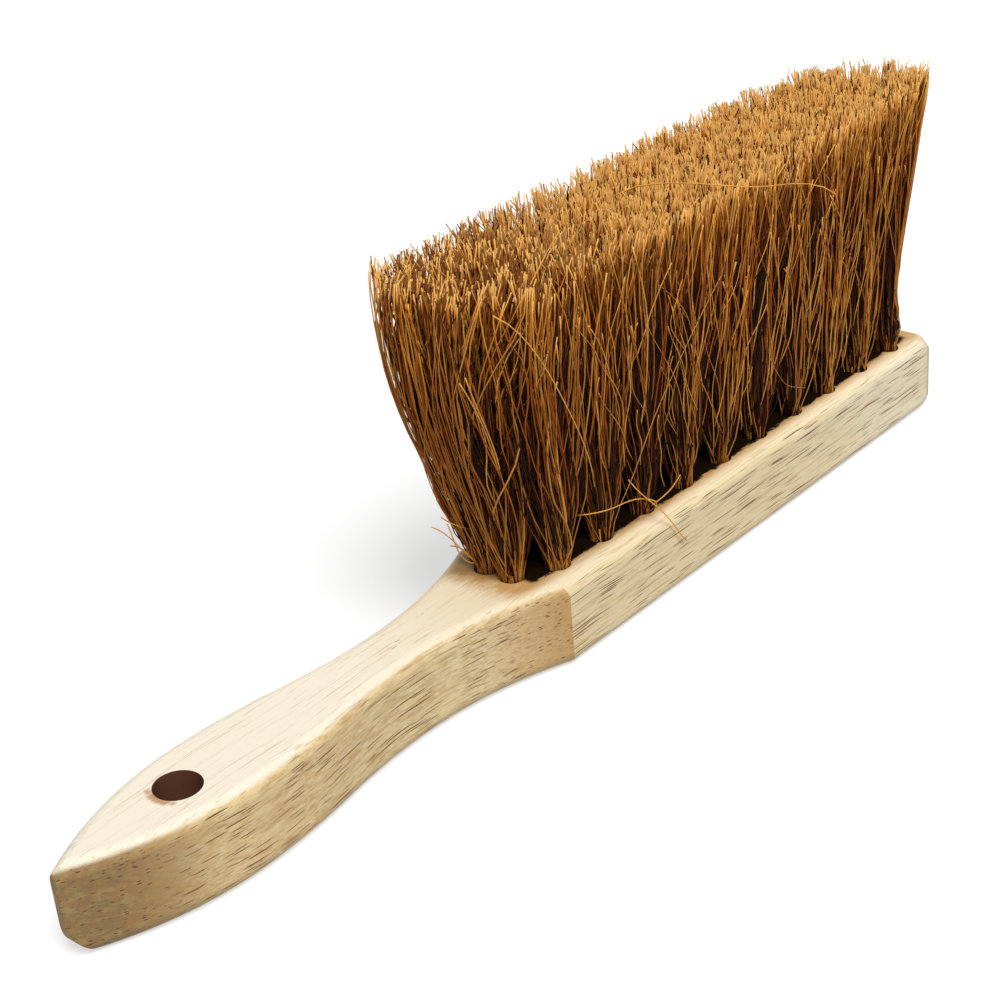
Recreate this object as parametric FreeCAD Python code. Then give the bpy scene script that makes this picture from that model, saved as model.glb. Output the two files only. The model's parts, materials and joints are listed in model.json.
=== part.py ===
"""Hand broom: a one-piece hardwood head and handle, set with folded tufts of coconut fibre.

Millimetres. The broom lies on its back: the flat back is on z = 0 and the bristles point to +Z.
+X runs along the broom from the end of the handle to the tip of the head, and the origin is
under the middle of its length. Stations along the broom are counted from the end of the handle.
"""
import FreeCAD, Part
import math
import os

# Wooden head and handle
LENGTH = 283.5
THICKNESS = 20.5
HEAD_WIDTH = 31.0
HEAD_END_RADIUS = 10.5
HEAD_END_FACE_ROUNDING = 11.5
HEAD_END_BACK_ROUNDING = 7.0
HEAD_CORNER_ROUNDING = 8.0
HEAD_CORNER_PLAY = 0.2
SHOULDER_STATION = 125.7
NECK_STATION = 87.2
NECK_WIDTH = 15.0
GRIP_STATION = 38.7
GRIP_WIDTH = 23.3
WAIST_BALANCE = 0.5
HANDLE_END_WIDTH = 1.6
HANDLE_END_FACE_ROUNDING = 1.5
HANDLE_END_BACK_ROUNDING = 8.5
HEAD_FACE_RADIUS = 3.5
HEAD_BACK_RADIUS = 3.4
HANDLE_FACE_RADIUS = 2.8
HANDLE_BACK_RADIUS = 3.7

# Hole that the broom hangs by
HANG_HOLE_STATION = 29.7
HANG_HOLE_DIAMETER = 9.5

# Holes for the tufts: four rows, the outer two set half a step and this shift further on
INNER_ROW_TUFTS = 11
FIRST_TUFT_STATION = 121.5
LAST_TUFT_MARGIN = 14.8
OUTER_ROW_MARGIN = 5.2
OUTER_ROW_DRAW_IN = 2.2
OUTER_ROW_SHIFT = 2.0
TUFT_HOLE_DIAMETER = 5.8
TUFT_HOLE_DEPTH = 13.0

# Tufts: fibres folded over a wire anchor, spreading towards their tips
BRISTLE_LENGTH = 68.5
BRISTLE_TIP_WIDTH = 37.0
HANDLE_END_LEAN = 10.5
HANDLE_LEAN_REACH = 28.0
HEAD_END_LEAN = 2.7
HEAD_LEAN_REACH = 20.0
COLUMN_HEIGHT = 26.0
COLUMN_SPREAD = 0.28
TUFT_CORNER = 2.2
TUFT_CLEARANCE = 0.05
TIP_GAP = 0.5

# Flat wire anchors that hold the folds
ANCHOR_HEIGHT = 2.0
ANCHOR_THICKNESS = 0.4
ANCHOR_BITE = 0.7
FOLD_HEIGHT = 2.4

UP = FreeCAD.Vector(0, 0, 1)
SPREAD_DIRECTION = FreeCAD.Vector(0, 1, 0)


def station(distance):
    """X of a point that lies this far from the end of the handle."""
    return distance - LENGTH / 2


def edges_along(solid, path, height):
    """Edges of the solid at this height that lie on the path."""
    tolerance = 1e-4
    lifted = path.translated(UP * height)
    found = []
    for edge in solid.Edges:
        middle = edge.valueAt((edge.FirstParameter + edge.LastParameter) / 2)
        if Part.Vertex(middle).distToShape(lifted)[0] < tolerance:
            found.append(edge)
    return found


def rounded_plank(outline, path, face_radius, back_radius):
    """Plank of the full thickness over a closed outline, rounded along the path's two edges."""
    plank = Part.Face(outline).extrude(UP * THICKNESS)
    plank = plank.makeFillet(back_radius, edges_along(plank, path, 0))
    return plank.makeFillet(face_radius, edges_along(plank, path, THICKNESS))


def arc_point(start_x, start_y, radius, x, hollow):
    """Point at x of an arc that leaves (start_x, start_y) along X and bends away by its radius."""
    drop = radius - math.sqrt(radius ** 2 - (x - start_x) ** 2)
    return FreeCAD.Vector(x, start_y + drop if hollow else start_y - drop, 0)


def reach_radius(run, rise):
    """Radius of the arc that starts along X and has moved aside by the rise after the run."""
    return (run ** 2 + rise ** 2) / (2 * rise)


def handle_side():
    """Plank cut on its +Y side to the arcs of handle end, grip, waist and shoulder."""
    end_x = station(0)
    grip_x = station(GRIP_STATION)
    neck_x = station(NECK_STATION)
    shoulder_x = station(SHOULDER_STATION)
    grip_y = GRIP_WIDTH / 2
    neck_y = NECK_WIDTH / 2
    end_radius = reach_radius(grip_x - end_x, grip_y - HANDLE_END_WIDTH / 2)
    shoulder_radius = reach_radius(shoulder_x - neck_x, HEAD_WIDTH / 2 - neck_y)
    waist_radii = reach_radius(neck_x - grip_x, grip_y - neck_y)
    waist_x = grip_x + WAIST_BALANCE * (neck_x - grip_x)
    grip_radius = WAIST_BALANCE * waist_radii
    neck_radius = waist_radii - grip_radius

    def stretch(from_x, to_x, top_x, top_y, radius, hollow):
        """Arc between two values of X about the place where it runs along X."""
        places = [from_x, (from_x + to_x) / 2, to_x]
        return Part.Arc(*[arc_point(top_x, top_y, radius, x, hollow) for x in places]).toShape()

    arcs = [
        stretch(end_x, grip_x, grip_x, grip_y, end_radius, False),
        stretch(grip_x, waist_x, grip_x, grip_y, grip_radius, False),
        stretch(waist_x, neck_x, neck_x, neck_y, neck_radius, True),
        stretch(neck_x, shoulder_x, neck_x, neck_y, shoulder_radius, True),
    ]
    end = arc_point(grip_x, grip_y, end_radius, end_x, False)
    shoulder = arc_point(neck_x, neck_y, shoulder_radius, shoulder_x, True)
    end_angle = math.asin((grip_x - end_x) / end_radius)
    shoulder_angle = math.asin((shoulder_x - neck_x) / shoulder_radius)
    before = end - FreeCAD.Vector(math.cos(end_angle), math.sin(end_angle), 0) * HEAD_WIDTH
    after = shoulder + FreeCAD.Vector(math.cos(shoulder_angle), math.sin(shoulder_angle), 0) * LENGTH
    path = Part.Wire(
        [Part.LineSegment(before, end).toShape()] + arcs + [Part.LineSegment(shoulder, after).toShape()]
    )
    far_after = FreeCAD.Vector(after.x, -LENGTH, 0)
    far_before = FreeCAD.Vector(before.x, -LENGTH, 0)
    outline = Part.Wire(path.Edges + Part.makePolygon([after, far_after, far_before, before]).Edges)
    return rounded_plank(outline, path, HANDLE_FACE_RADIUS, HANDLE_BACK_RADIUS)


def head_plank():
    """Plank of the head's width with its round end, running on past the handle."""
    half = HEAD_WIDTH / 2
    tip = station(LENGTH)
    bend = tip - HEAD_END_RADIUS
    flat = half - HEAD_END_RADIUS
    start = station(-HEAD_WIDTH)
    diagonal = HEAD_END_RADIUS * math.sqrt(0.5)

    def corner(side):
        """Quarter round from the side to the end, on the side of this sign."""
        return Part.Arc(
            FreeCAD.Vector(bend, side * half, 0),
            FreeCAD.Vector(bend + diagonal, side * (flat + diagonal), 0),
            FreeCAD.Vector(tip, side * flat, 0),
        ).toShape()

    path = Part.Wire([
        Part.LineSegment(FreeCAD.Vector(start, -half, 0), FreeCAD.Vector(bend, -half, 0)).toShape(),
        corner(-1),
        Part.LineSegment(FreeCAD.Vector(tip, -flat, 0), FreeCAD.Vector(tip, flat, 0)).toShape(),
        corner(1),
        Part.LineSegment(FreeCAD.Vector(bend, half, 0), FreeCAD.Vector(start, half, 0)).toShape(),
    ])
    back_cut = Part.LineSegment(FreeCAD.Vector(start, half, 0), FreeCAD.Vector(start, -half, 0))
    outline = Part.Wire(path.Edges + [back_cut.toShape()])
    return rounded_plank(outline, path, HEAD_FACE_RADIUS, HEAD_BACK_RADIUS)


def end_block(tip, inward, face_rounding, back_rounding):
    """Block over the whole broom that stops at the tip, rolled over there on the face and on the back."""
    start = tip + inward * 2 * LENGTH
    corners = [
        FreeCAD.Vector(tip, -LENGTH, 0),
        FreeCAD.Vector(tip, LENGTH, 0),
        FreeCAD.Vector(start, LENGTH, 0),
        FreeCAD.Vector(start, -LENGTH, 0),
    ]
    outline = Part.makePolygon(corners + corners[:1])
    end_line = Part.Wire([Part.LineSegment(corners[0], corners[1]).toShape()])
    return rounded_plank(outline, end_line, face_rounding, back_rounding)


def corner_block(side):
    """Block across one corner of the head's end, which it just clears, rolled over there on the face."""
    corner_middle = station(LENGTH) + HEAD_WIDTH / 2 - 2 * HEAD_END_RADIUS
    reach = corner_middle * math.sqrt(0.5) + HEAD_END_RADIUS + HEAD_CORNER_PLAY
    block = end_block(reach, -1, HEAD_CORNER_ROUNDING, HEAD_BACK_RADIUS)
    return block.rotated(FreeCAD.Vector(), UP, 45 * side)


def flat_sided(sections):
    """Closed solid through outlines with as many corners each, whose matching sides are parallel."""
    def flat(points):
        """Flat face on these corners."""
        return Part.Face(Part.makePolygon(points + points[:1]))

    faces = [flat(sections[0]), flat(sections[-1])]
    for lower, upper in zip(sections, sections[1:]):
        for here in range(len(lower)):
            following = (here + 1) % len(lower)
            faces.append(flat([lower[here], lower[following], upper[following], upper[here]]))
    return Part.makeSolid(Part.makeShell(faces))


def tuft_hole(place):
    """Flat-bottomed blind hole, whose sixteen flat sides keep it round to a twentieth of a millimetre."""
    sides = 16
    corner_radius = TUFT_HOLE_DIAMETER / 2 / math.cos(math.pi / sides)
    rim = []
    for number in range(sides):
        turn = (2 * number + 1) * math.pi / sides
        outward = FreeCAD.Vector(math.cos(turn), math.sin(turn), 0)
        rim.append(place + outward * corner_radius + UP * THICKNESS)
    return flat_sided([[corner - UP * TUFT_HOLE_DEPTH for corner in rim], rim])


def anchor(place, clearance=0.0):
    """Flat wire on edge across a hole, with both ends bitten into the wood."""
    length = TUFT_HOLE_DIAMETER + 2 * ANCHOR_BITE + 2 * clearance
    thickness = ANCHOR_THICKNESS + 2 * clearance
    height = ANCHOR_HEIGHT + 2 * clearance
    base = THICKNESS - TUFT_HOLE_DEPTH + FOLD_HEIGHT - clearance
    corner = FreeCAD.Vector(place.x - length / 2, place.y - thickness / 2, base)
    return Part.makeBox(length, thickness, height, corner)


def stock(places):
    """Head and handle in one piece of wood, with every hole."""
    side = handle_side()
    mirrored = side.mirror(FreeCAD.Vector(), SPREAD_DIRECTION)
    handle_end = end_block(station(0), 1, HANDLE_END_FACE_ROUNDING, HANDLE_END_BACK_ROUNDING)
    head_end = end_block(station(LENGTH), -1, HEAD_END_FACE_ROUNDING, HEAD_END_BACK_ROUNDING)
    wood = head_plank().common(side).common(mirrored).common(handle_end).common(head_end)
    wood = wood.common(corner_block(-1)).common(corner_block(1))
    hang_hole = Part.makeCylinder(
        HANG_HOLE_DIAMETER / 2, THICKNESS, FreeCAD.Vector(station(HANG_HOLE_STATION), 0, 0), UP
    )
    cutters = [hang_hole]
    for place in places:
        cutters.append(tuft_hole(place))
        cutters.append(anchor(place))
    return wood.cut(cutters).Solids[0]


def tip_x(x):
    """Where the tips stand over the foot at x: the bristles fan out at both ends of the head."""
    from_first = x - station(FIRST_TUFT_STATION)
    from_last = station(LENGTH - LAST_TUFT_MARGIN) - x
    to_handle = HANDLE_END_LEAN * math.exp(-from_first / HANDLE_LEAN_REACH)
    to_head_end = HEAD_END_LEAN * math.exp(-from_last / HEAD_LEAN_REACH)
    return x - to_handle + to_head_end


def eight_sides(centre, half_x, half_y, corner, z):
    """Corners of a rectangle whose own corners are cut off at 45 degrees, in order round it."""
    points = []
    for sx, sy, along_x_first in ((1, 1, False), (-1, 1, True), (-1, -1, False), (1, -1, True)):
        on_side = FreeCAD.Vector(centre.x + sx * half_x, centre.y + sy * (half_y - corner), z)
        on_end = FreeCAD.Vector(centre.x + sx * (half_x - corner), centre.y + sy * half_y, z)
        points += [on_end, on_side] if along_x_first else [on_side, on_end]
    return points


def tuft(place, tip_y, step, tip_depth):
    """One tuft: a folded root in its hole, a narrow column, then a spread to its share of the tips.

    tip_y is the line that its row has among the tips, and tip_depth is how much of Y each row takes there.
    """
    tip_near = tip_x(place.x - step / 2)
    tip_far = tip_x(place.x + step / 2)
    tip_half_x = (tip_far - tip_near - TIP_GAP) / 2
    tip_half_y = (tip_depth - TIP_GAP) / 2
    shift = FreeCAD.Vector((tip_near + tip_far) / 2 - place.x, tip_y - place.y, 0)

    root_half = (TUFT_HOLE_DIAMETER / 2 - TUFT_CLEARANCE) * math.cos(math.pi / 8)
    root_corner = root_half * (2 - math.sqrt(2))
    levels = (
        (TUFT_CLEARANCE - TUFT_HOLE_DEPTH, 0),
        (0, 0),
        (COLUMN_HEIGHT, COLUMN_SPREAD),
        (BRISTLE_LENGTH, 1),
    )
    sections = []
    for height, share in levels:
        sections.append(eight_sides(
            place + shift * share,
            root_half + share * (tip_half_x - root_half),
            root_half + share * (tip_half_y - root_half),
            root_corner + share * (TUFT_CORNER - root_corner),
            THICKNESS + height,
        ))
    return flat_sided(sections).cut(anchor(place, TUFT_CLEARANCE)).Solids[0]


def main():
    """Builds every piece and writes one file for each node."""
    os.makedirs("parts", exist_ok=True)
    first = station(FIRST_TUFT_STATION)
    last = station(LENGTH - LAST_TUFT_MARGIN)
    step = (last - first) / (INNER_ROW_TUFTS - 1)
    inner_x = [first + step * number for number in range(INNER_ROW_TUFTS)]
    outer_x = [x + step / 2 + OUTER_ROW_SHIFT for x in inner_x[:-1]]
    outer_y = HEAD_WIDTH / 2 - OUTER_ROW_MARGIN
    rows = {
        "outer_front": (outer_x, -1.0, OUTER_ROW_DRAW_IN),
        "inner_front": (inner_x, -1 / 3, 0),
        "inner_back": (inner_x, 1 / 3, 0),
        "outer_back": (outer_x, 1.0, OUTER_ROW_DRAW_IN),
    }
    tip_depth = BRISTLE_TIP_WIDTH / len(rows)
    outer_tip_y = (BRISTLE_TIP_WIDTH - tip_depth) / 2
    all_places = []
    for row, (row_x, across, draw_in) in rows.items():
        places = []
        for x in row_x:
            drawn = draw_in * (last - x) / (last - first)
            places.append(FreeCAD.Vector(x, (outer_y - drawn) * across, 0))
        all_places += places
        Part.makeCompound([anchor(place) for place in places]).exportStep(f"parts/anchors_{row}.step")
        for number, place in enumerate(places, start=1):
            shape = tuft(place, outer_tip_y * across, step, tip_depth)
            shape.exportStep(f"parts/tuft_{row}_{number:02d}.step")
    stock(all_places).exportStep("parts/stock_and_handle.step")


main()
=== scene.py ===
"""Looks of a hand broom: a rubberwood head and handle, set with tufts of coir fibre.

Everything is in metres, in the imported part's own frame: the broom lies on its flat back, +X runs
from the end of the handle to the tip of the head and the bristles point to +Z. Sizes that a maker
would give in millimetres are multiplied by MM.
"""
import json
import logging
import math
from dataclasses import dataclass
from enum import Enum
from typing import Any

import bpy
import numpy as np
from mathutils import Matrix, Vector
from numpy.polynomial import polynomial

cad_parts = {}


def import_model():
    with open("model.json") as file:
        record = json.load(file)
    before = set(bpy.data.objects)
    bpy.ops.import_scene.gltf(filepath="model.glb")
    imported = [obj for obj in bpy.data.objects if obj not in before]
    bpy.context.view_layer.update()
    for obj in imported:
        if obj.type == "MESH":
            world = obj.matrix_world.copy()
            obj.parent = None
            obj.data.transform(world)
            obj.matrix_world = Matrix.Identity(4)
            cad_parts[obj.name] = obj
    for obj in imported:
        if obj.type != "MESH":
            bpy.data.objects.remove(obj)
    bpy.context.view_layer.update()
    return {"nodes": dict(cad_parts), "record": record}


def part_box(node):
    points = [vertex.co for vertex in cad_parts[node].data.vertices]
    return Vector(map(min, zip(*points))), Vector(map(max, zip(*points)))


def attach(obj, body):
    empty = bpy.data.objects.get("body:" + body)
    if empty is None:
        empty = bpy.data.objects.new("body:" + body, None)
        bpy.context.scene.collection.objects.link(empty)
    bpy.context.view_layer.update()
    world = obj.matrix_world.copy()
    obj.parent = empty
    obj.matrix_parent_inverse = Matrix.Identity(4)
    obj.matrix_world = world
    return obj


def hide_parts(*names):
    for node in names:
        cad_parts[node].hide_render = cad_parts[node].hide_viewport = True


MM = 0.001
LOG = logging.getLogger("hand_broom")
Pair = tuple[float, float]
Point = tuple[float, float, float]
# A direction that no fibre runs along.
ASIDE = (0.28, 0.91, 0.3)
# How near the corners of a solid lie to the end, and to the level, that they are counted to.
END_SLACK = 0.1 * MM
LEVEL_SLACK = 0.02 * MM
LEVEL_DECIMALS = 5


class Slot(Enum):
    """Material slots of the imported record."""

    WOOD = "rubberwood"
    FIBRE = "coir_fibre"
    WIRE = "anchor_wire"


def linear(colour: str) -> tuple[float, float, float, float]:
    """Turns an sRGB hex colour into a linear one, by the sRGB curve.

    Args:
        colour: A hash sign and six hex digits.

    Returns:
        Linear red, green and blue, with an alpha of one.
    """
    shares = np.array([int(colour[place:place + 2], 16) for place in (1, 3, 5)]) / 255
    values = np.where(shares <= 0.04045, shares / 12.92, ((shares + 0.055) / 1.055) ** 2.4)
    return (float(values[0]), float(values[1]), float(values[2]), 1.0)


def add_node(tree: bpy.types.NodeTree, kind: str, inputs: dict[Any, Any] | None = None,
             **settings: Any) -> bpy.types.Node:
    """Adds a shader node with its settings, and sets or links its inputs.

    Args:
        tree: The node tree of a material or world.
        kind: Blender's class name of the node without its ShaderNode prefix.
        inputs: Value for each input by name or number; a socket, or a node's first output, is linked.
        **settings: Properties of the node.

    Returns:
        The new node.
    """
    node = tree.nodes.new("ShaderNode" + kind)
    for name, value in settings.items():
        setattr(node, name, value)
    for key, value in (inputs or {}).items():
        if isinstance(value, bpy.types.Node):
            tree.links.new(value.outputs[0], node.inputs[key])
        elif isinstance(value, bpy.types.NodeSocket):
            tree.links.new(value, node.inputs[key])
        else:
            node.inputs[key].default_value = value
    return node


def new_material(name: str) -> tuple[bpy.types.Material, bpy.types.NodeTree]:
    """Makes an empty node material.

    Args:
        name: Name of the material.

    Returns:
        The material and its node tree.
    """
    made = bpy.data.materials.new(name)
    made.use_nodes = True
    made.node_tree.nodes.clear()
    return made, made.node_tree


def new_piece(name: str, vertices: np.ndarray, faces: list[np.ndarray]) -> bpy.types.Object:
    """Makes a mesh object from whole arrays.

    Args:
        name: Name of the piece.
        vertices: Points, one row each, in metres.
        faces: Arrays of vertex numbers, each with one row per face and as many columns as corners.

    Returns:
        The object, at the origin and smooth shaded.
    """
    mesh = bpy.data.meshes.new(name)
    corners = np.concatenate([block.ravel() for block in faces]).astype(np.int32)
    counts = np.concatenate([np.full(len(block), block.shape[1]) for block in faces]).astype(np.int32)
    starts = np.concatenate(([0], np.cumsum(counts)[:-1])).astype(np.int32)
    mesh.vertices.add(len(vertices))
    mesh.vertices.foreach_set("co", vertices.astype(np.float32).ravel())
    mesh.loops.add(len(corners))
    mesh.loops.foreach_set("vertex_index", corners)
    mesh.polygons.add(len(counts))
    mesh.polygons.foreach_set("loop_start", starts)
    mesh.update(calc_edges=True)
    mesh.validate()
    mesh.shade_smooth()
    piece = bpy.data.objects.new(name, mesh)
    bpy.context.scene.collection.objects.link(piece)
    return piece


@dataclass(frozen=True)
class Layer:
    """One colour laid over those under it, where a pattern rises from low to high.

    Attributes:
        colour: The colour, as a hex value.
        low: Value of the pattern at which the colour starts.
        high: Value at which it is fully there.
        most: Share of it that is then seen.
    """

    colour: str
    low: float
    high: float
    most: float = 1.0


def lay(tree: bpy.types.NodeTree, ground: str, layers: tuple[tuple[Any, Layer], ...]) -> bpy.types.NodeSocket:
    """Lays the layers of a finish over its ground colour, each with a smooth step at its edge.

    Args:
        tree: The material's node tree.
        ground: The ground colour, as a hex value.
        layers: Each layer from the lowest up, after the node or socket whose value says where it lies.

    Returns:
        The finished colour.
    """
    colour: Any = linear(ground)
    for pattern, layer in layers:
        share = add_node(
            tree, "MapRange", {0: pattern, 1: layer.low, 2: layer.high, 3: 0.0, 4: layer.most},
            interpolation_type="SMOOTHSTEP",
        )
        mixed = add_node(tree, "Mix", {0: share, 6: colour, 7: linear(layer.colour)}, data_type="RGBA")
        colour = mixed.outputs[2]
    return colour


@dataclass(frozen=True)
class SandedRubberwood:
    """Rubberwood, planed and sanded, with no varnish.

    It is cream on the broad faces, warmer towards the neck, and straw coloured on the sides, darker along the
    handle, with paler flecks, and the last part of the handle is painted darker and greyer as painted shade.
    Its open vessels are short tubes along the plank that weave a little: brown dashes on the sides, shorter
    where a side turns across the grain, hair lines on the faces and dots on end grain, which also drinks more
    light. The wall of the hang hole is painted dark brown as painted shade, and the drill has torn its rim.
    Dust from the fibres, together with painted shade, browns the wood round the tufts, and between them the
    wood is painted black as painted shade.
    """

    # Colours from the lowest up: by millimetres along the broom for the handle, the far end and the painted
    # shade on the handle's end, by how far a surface turns that way for end grain and face, and else by a
    # pattern.
    side: str = "#EFDCB0"
    handle: Layer = Layer("#EACE9A", 10.0, -100.0)
    far_end: Layer = Layer("#F8EFD6", 60.0, 130.0, 0.7)
    fleck: Layer = Layer("#F8ECCC", 0.5, 0.62, 0.42)
    end_grain: Layer = Layer("#BF9152", 0.1, 0.48, 0.95)
    # Painted shade: the sides and end of the handle's last part are painted darker and greyer.
    handle_end_shade: Layer = Layer("#887251", -108.0, -137.0, 0.9)
    blotch: Layer = Layer("#B07E44", 0.5, 0.62, 0.32)
    olive: Layer = Layer("#BFAA72", 0.5, 0.6, 0.34)
    face: Layer = Layer("#F7EDD7", 0.5, 0.9)
    neck: Layer = Layer("#E8D2A2", 0.0, 1.0, 0.65)
    streak: Layer = Layer("#B78A4A", 0.5, 0.58, 0.4)
    # Brown round the tufts: partly fibre debris, partly painted shade.
    dust_and_shade: Layer = Layer("#BE8840", 0.08, 0.42, 0.85)
    # Painted shade: the wood between the tufts is painted near-black.
    between_tufts_shade: Layer = Layer("#0E0703", 0.0, 0.5, 0.99)
    torn: Layer = Layer("#B4763A", 0.12, 0.4, 0.8)
    vessel: Layer = Layer("#643A14", 0.0, 0.8, 0.92)
    # Painted shade on the wall of the hang hole.
    hole_wall_shade: str = "#64412E"

    # The figure of the grain: lengths along the plank and widths across it, and the noise that draws it.
    streak_size: Pair = (22.0 * MM, 0.42 * MM)
    blotch_size: Pair = (7.0 * MM, 2.4 * MM)
    olive_size: Pair = (4.0 * MM, 1.6 * MM)
    fleck_size: Pair = (2.6 * MM, 0.5 * MM)
    weave_size: Pair = (30.0 * MM, 100.0 * MM)
    weave: float = 1.3 * MM
    fineness: float = 7.0
    grit: float = 0.68
    twist: float = 0.3

    # How much of it shows on the head and on the broad faces, and where, in millimetres along the
    # broom, the head's paler figure and the neck's warmth come in.
    head_mottle: float = 0.82
    face_streaks: float = 0.92
    head_run: Pair = (-15.0, -35.0)
    neck_run: Pair = (-75.0, -15.0)

    # Vessels: the cell of each kind, its share on long grain and on end grain, how far a cell is open
    # and fully open, the chance that it is, and how far a side turns before end grain starts. Real
    # vessels are about 0.2 mm wide, and these are drawn as coarse as they need to show.
    vessel_sizes: tuple[Point, ...] = (
        (26.0 * MM, 2.2 * MM, 0.62 * MM),
        (13.0 * MM, 1.5 * MM, 0.44 * MM),
        (2.3 * MM, 1.4 * MM, 0.54 * MM),
    )
    vessel_shares: tuple[Pair, ...] = ((1.0, 0.1), (1.0, 0.25), (0.0, 1.0))
    vessel_reach: float = 0.285
    vessel_core: float = 0.6
    vessel_chance: Pair = (0.1, 0.7)
    vessel_least: float = 0.05
    vessel_turn: Pair = (0.15, 0.38)
    vessel_depth: float = 0.8
    face_vessels: float = 0.5
    face_closing: float = 3.6

    # Where the brown round the tufts (fibre debris with painted shade) and the black painted shade between
    # them start and are full, from the edges of the box that the tufts are set in, how ragged they are, and
    # how much and over what length the rows are drawn in at the near end.
    dust_start: Pair = (-8.0 * MM, 1.0 * MM)
    dust_beside: Pair = (7.4 * MM, 2.6 * MM)
    soot_start: Pair = (3.0 * MM, 6.0 * MM)
    soot_end: Pair = (0.0, -4.0 * MM)
    soot_beside: Pair = (3.4 * MM, 1.8 * MM)
    stain_and_shade_depth: Pair = (-3.0 * MM, -0.3 * MM)
    stain_and_shade_ragged: float = 5.0 * MM
    row_draw_in: float = 2.2 * MM
    row_run: float = 50.0 * MM

    # Millimetres from the wall of the hang hole at which its painted shade and its torn rim start and are
    # full.
    hole_wall_shade_edge: Pair = (0.08, 0.03)
    torn_edge: Pair = (2.4, 0.2)
    torn_side: float = 1.8

    relief: float = 0.35
    relief_height: float = 0.12 * MM
    roughness: float = 0.55
    gloss: float = 0.2

    def material(self, hole: dict[str, Any], low: Vector, high: Vector) -> bpy.types.Material:
        """Builds the node material on object coordinates, so that the grain runs through the wood.

        Args:
            hole: The record's mount for the hang hole.
            low: Lowest corner of the space that the tufts are set in.
            high: Its highest corner, level with the face.

        Returns:
            The material.
        """
        made, tree = new_material("rubberwood_sanded")
        place = add_node(tree, "TexCoord")
        spot = place.outputs["Object"]
        facing = add_node(tree, "SeparateXYZ", {0: place.outputs["Normal"]})
        upward = add_node(tree, "Math", {0: facing.outputs["Z"]}, operation="ABSOLUTE")
        endward = add_node(tree, "Math", {0: facing.outputs["X"]}, operation="ABSOLUTE")
        axes = add_node(tree, "SeparateXYZ", {0: spot})
        along = add_node(tree, "Math", {0: axes.outputs["X"], 1: 1 / MM}, operation="MULTIPLY")

        # A slow noise moves the grain sideways, so that nothing in it runs quite straight.
        length, width = self.weave_size
        slow = add_node(tree, "Mapping", {"Vector": spot, "Scale": (1 / length, 1 / width, 1 / width)})
        drift = add_node(tree, "TexNoise", {"Vector": slow, "Scale": 1.0, "Detail": 2.0}).outputs["Color"]
        sway = (0.0, 2 * self.weave, 2 * self.weave)
        woven = add_node(tree, "VectorMath", {0: drift, 1: sway, 2: spot}, operation="MULTIPLY_ADD")

        figure = self.figure(tree, woven, along, upward)
        pore = self.pores(tree, woven, upward, endward)
        dust_and_shade_share, between_tufts_shading = self.stains_and_shade(tree, axes, figure["olive"], low, high)
        away, tearing = self.drilling(tree, spot, along, figure["olive"], hole)
        # The wall of the hang hole, the only wood this near its axis, is painted dark as painted shade.
        wall = hole["dims"]["r_mm"]
        hole_wall_shade = Layer(self.hole_wall_shade, wall + self.hole_wall_shade_edge[0], wall + self.hole_wall_shade_edge[1])
        headward = add_node(tree, "MapRange", {0: along, 1: self.neck_run[0], 2: self.neck_run[1]})
        necking = add_node(tree, "MapRange", self.facewise(upward, 0.0, 1.0))
        necking = add_node(tree, "Math", {0: necking, 1: headward}, operation="MULTIPLY")
        colour = lay(tree, self.side, (
            (along, self.handle),
            (along, self.far_end),
            (figure["fleck"], self.fleck),
            (endward, self.end_grain),
            (along, self.handle_end_shade),
            (figure["blotch"], self.blotch),
            (figure["olive"], self.olive),
            (upward, self.face),
            (necking, self.neck),
            (figure["streak"], self.streak),
            (dust_and_shade_share, self.dust_and_shade),
            (between_tufts_shading, self.between_tufts_shade),
            (tearing, self.torn),
            (pore, self.vessel),
            (away, hole_wall_shade),
        ))
        raised = add_node(
            tree, "Math", {0: pore, 1: -self.vessel_depth, 2: figure["streak"]}, operation="MULTIPLY_ADD",
        )
        bump = add_node(
            tree, "Bump", {"Height": raised, "Strength": self.relief, "Distance": self.relief_height},
        )
        # Where the wood is painted black as painted shade it also loses its gloss.
        sheen = add_node(tree, "MapRange", {0: between_tufts_shading, 1: 0.0, 2: self.between_tufts_shade.high, 3: self.gloss, 4: 0.0})
        shader = add_node(
            tree, "BsdfPrincipled",
            {"Base Color": colour, "Roughness": self.roughness, "Specular IOR Level": sheen, "Normal": bump},
        )
        add_node(tree, "OutputMaterial", {"Surface": shader})
        return made

    def facewise(self, upward: Any, on_side: float, on_face: float) -> dict[int, Any]:
        """Inputs of a map range from a value on the sides to another on the broad faces."""
        return {0: upward, 1: self.face.low, 2: self.face.high, 3: on_side, 4: on_face}

    def figure(self, tree: bpy.types.NodeTree, woven: Any, along: Any,
               upward: Any) -> dict[str, bpy.types.Node]:
        """Draws the grain's figure as noise that is stretched along the plank.

        Args:
            tree: The material's node tree.
            woven: Place in the grain.
            along: Millimetres along the broom.
            upward: How far the surface turns up or down.

        Returns:
            The patterns by name.
        """
        noise = {"Scale": 1.0, "Detail": self.fineness, "Roughness": self.grit, "Distortion": self.twist}
        patterns = {}
        for name, (length, width) in (
            ("streak", self.streak_size), ("blotch", self.blotch_size), ("olive", self.olive_size),
            ("fleck", self.fleck_size),
        ):
            drawn = add_node(tree, "Mapping", {"Vector": woven, "Scale": (1 / length, 1 / width, 1 / width)})
            patterns[name] = add_node(tree, "TexNoise", {"Vector": drawn, **noise})
        start, full = self.head_run
        mottled = add_node(tree, "MapRange", {0: along, 1: start, 2: full, 3: self.head_mottle, 4: 1.0})
        clean = add_node(tree, "MapRange", self.facewise(upward, 1.0, self.face_streaks))
        for name, share in (("blotch", mottled), ("olive", mottled), ("streak", clean)):
            patterns[name] = add_node(tree, "Math", {0: patterns[name], 1: share}, operation="MULTIPLY")
        return patterns

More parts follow.
